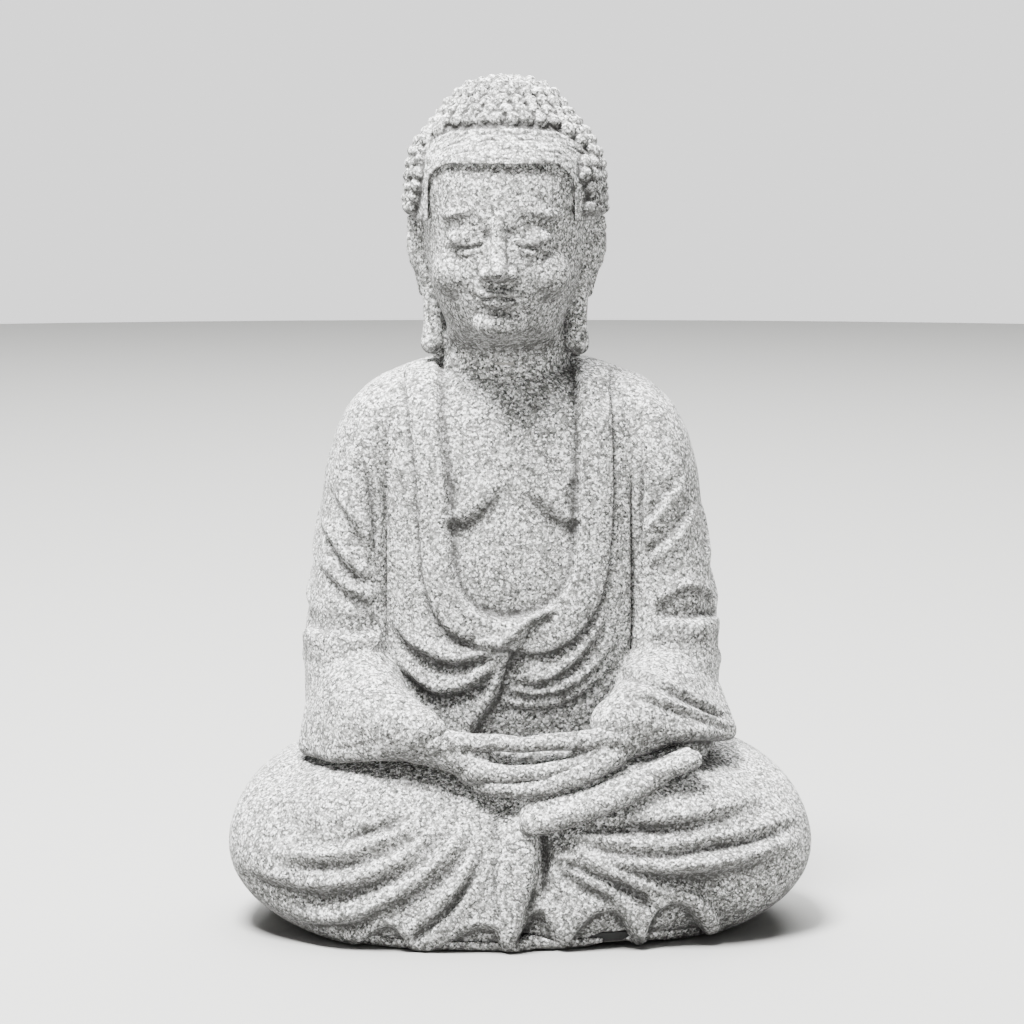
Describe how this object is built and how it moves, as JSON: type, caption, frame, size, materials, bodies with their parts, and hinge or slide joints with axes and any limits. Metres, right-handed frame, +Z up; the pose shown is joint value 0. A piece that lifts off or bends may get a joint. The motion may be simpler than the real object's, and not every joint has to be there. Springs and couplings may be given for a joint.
{
  "type": "buddha statue",
  "caption": "Seated meditation figure in grey granite-chip cast stone, hands resting in the lap, curled hair and draped open robe, hollow base closed by a plate with a drain plug.",
  "frame": {"origin": "centre of the footprint box on the ground plane", "axes": "+Z up, the statue faces -Y, +X to the statue's left hand side"},
  "size_m": [0.415, 0.264, 0.6],
  "materials": {
    "cast_stone": "grey granite-chip cast stone, lightly textured, matt",
    "mortar": "fine bedding mortar, matt",
    "stainless": "stainless steel, drawn bar and cold-formed fasteners",
    "fibre_cement": "pressed fibre-cement sheet, matt",
    "foam_seal": "closed-cell sealing strip, black",
    "brass_insert": "knurled brass, turned",
    "black_rubber": "moulded black rubber, matt"
  },
  "bodies": {
    "statue": {"lap_shell": "cast_stone", "torso_shell": "cast_stone", "right_sleeve": "cast_stone", "left_sleeve": "cast_stone", "right_hand": "cast_stone", "left_hand": "cast_stone", "right_foot": "cast_stone", "head": "cast_stone", "crown": "cast_stone", "waist_bed": "mortar", "neck_bed": "mortar", "crown_bed": "mortar", "shoulder_beds": "mortar", "waist_dowels": "stainless", "shoulder_dowels": "stainless", "wrist_dowels": "stainless", "foot_dowel": "stainless", "crown_dowels": "stainless", "neck_rod": "stainless", "neck_washer": "stainless", "neck_nut": "stainless", "plate_screws": "stainless", "base_plate": "fibre_cement", "plate_seal": "foam_seal", "screw_inserts": "brass_insert", "rubber_feet": "black_rubber"},
    "plug": {"drain_plug": "black_rubber"}
  },
  "joints": [
    {"name": "drain_plug_pull", "type": "slide", "parent": "statue", "child": "plug", "axis": [0, 0, -1], "range_m": [0, 0.03]}
  ]
}
